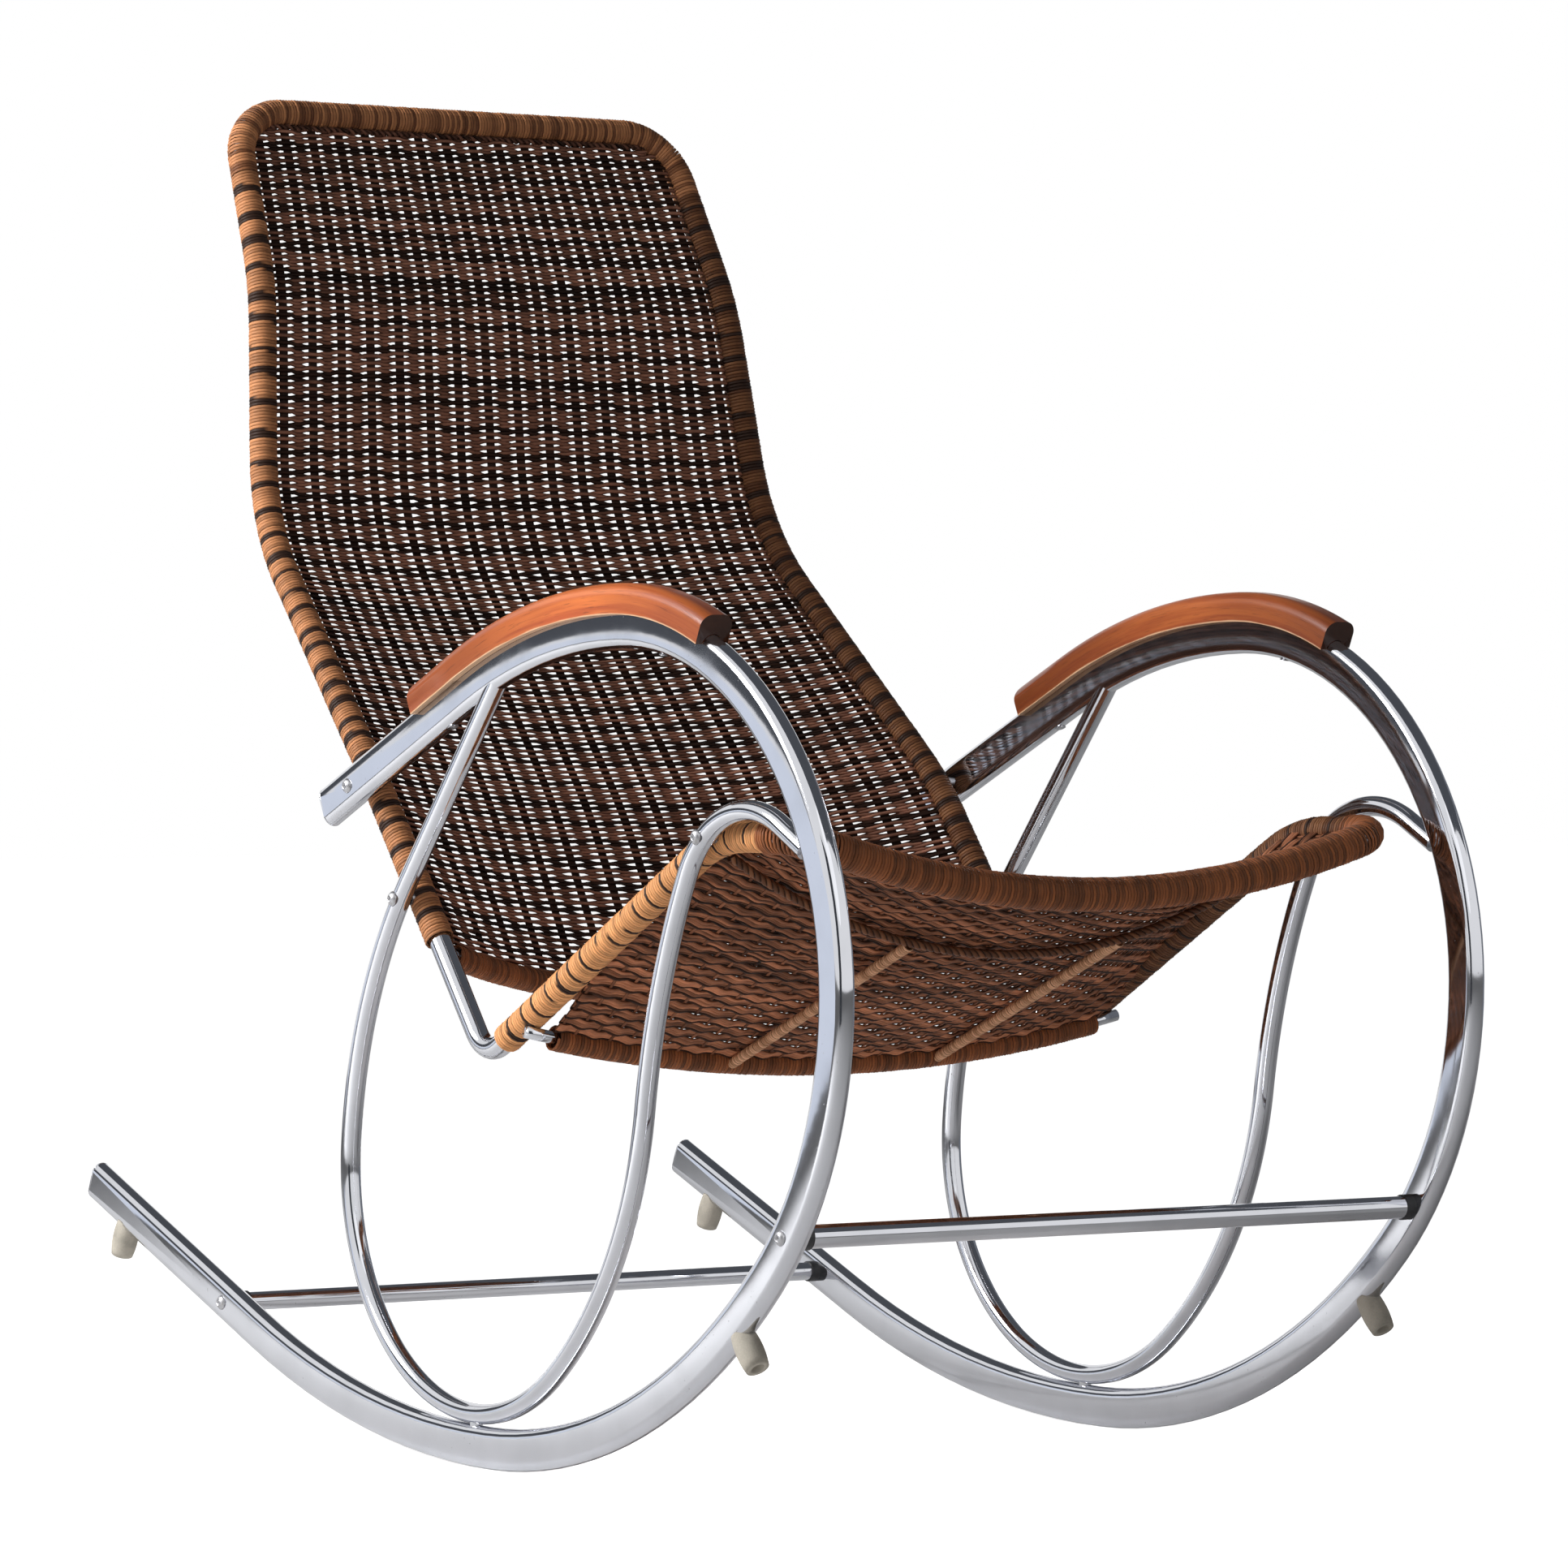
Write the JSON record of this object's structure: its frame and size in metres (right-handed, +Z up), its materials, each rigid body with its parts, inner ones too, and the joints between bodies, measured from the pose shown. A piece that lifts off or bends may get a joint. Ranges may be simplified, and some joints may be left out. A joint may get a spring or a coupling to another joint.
{
  "type": "rocking chair",
  "caption": "Rocking chair with bent chrome tube hoops that form runners and arms, inner tube loops, wooden armrests and a woven rattan seat and back on a bent tube frame.",
  "frame": {"origin": "on the floor, at the middle of the footprint", "axes": "+Z up, the sitter faces -Y, X across the chair with the sitter's left at +X"},
  "size_m": [0.566, 0.9908, 1.0032],
  "materials": {
    "chrome_tube": "polished chrome plate on steel tube, light wear",
    "plated_steel": "nickel-plated steel fasteners",
    "arm_wood": "reddish clear lacquer, worn along the lower edge",
    "rattan_weave": "dark brown woven rattan, semi-gloss varnish",
    "rattan_banded_wrap": "honey-coloured cane binding with narrow dark bands",
    "rattan_dark_wrap": "brown cane binding, fine turns",
    "bumper_rubber": "aged beige-grey rubber",
    "black_plastic": "black moulded collars"
  },
  "bodies": {
    "root": {"arm_bolts": "plated_steel", "arm_caps": "chrome_tube", "armrest_screws": "plated_steel", "back_rail_bolts": "plated_steel", "back_weave": "rattan_weave", "bumper_screws": "plated_steel", "frame_inserts": "plated_steel", "front_bumpers": "bumper_rubber", "front_stretcher": "chrome_tube", "front_stretcher_bolts": "plated_steel", "front_wrap": "rattan_dark_wrap", "left_armrest": "arm_wood", "left_back_wrap": "rattan_banded_wrap", "left_frame_tube": "chrome_tube", "left_hoop": "chrome_tube", "left_inner_loop": "chrome_tube", "left_seat_wrap": "rattan_banded_wrap", "loop_welds": "chrome_tube", "lower_back_bar": "chrome_tube", "lower_bar_wrap": "rattan_dark_wrap", "rear_bar_wrap": "rattan_dark_wrap", "rear_bumpers": "bumper_rubber", "rear_seat_bar": "chrome_tube", "rear_stretcher": "chrome_tube", "rear_stretcher_bolts": "plated_steel", "right_armrest": "arm_wood", "right_back_wrap": "rattan_banded_wrap", "right_frame_tube": "chrome_tube", "right_hoop": "chrome_tube", "right_inner_loop": "chrome_tube", "right_seat_wrap": "rattan_banded_wrap", "seat_bolts": "plated_steel", "seat_rib": "rattan_dark_wrap", "seat_stringers": "rattan_dark_wrap", "seat_weave": "rattan_weave", "stretcher_collars": "black_plastic", "stretcher_plugs": "plated_steel", "tail_caps": "chrome_tube", "top_wrap": "rattan_dark_wrap"}
  },
  "joints": []
}
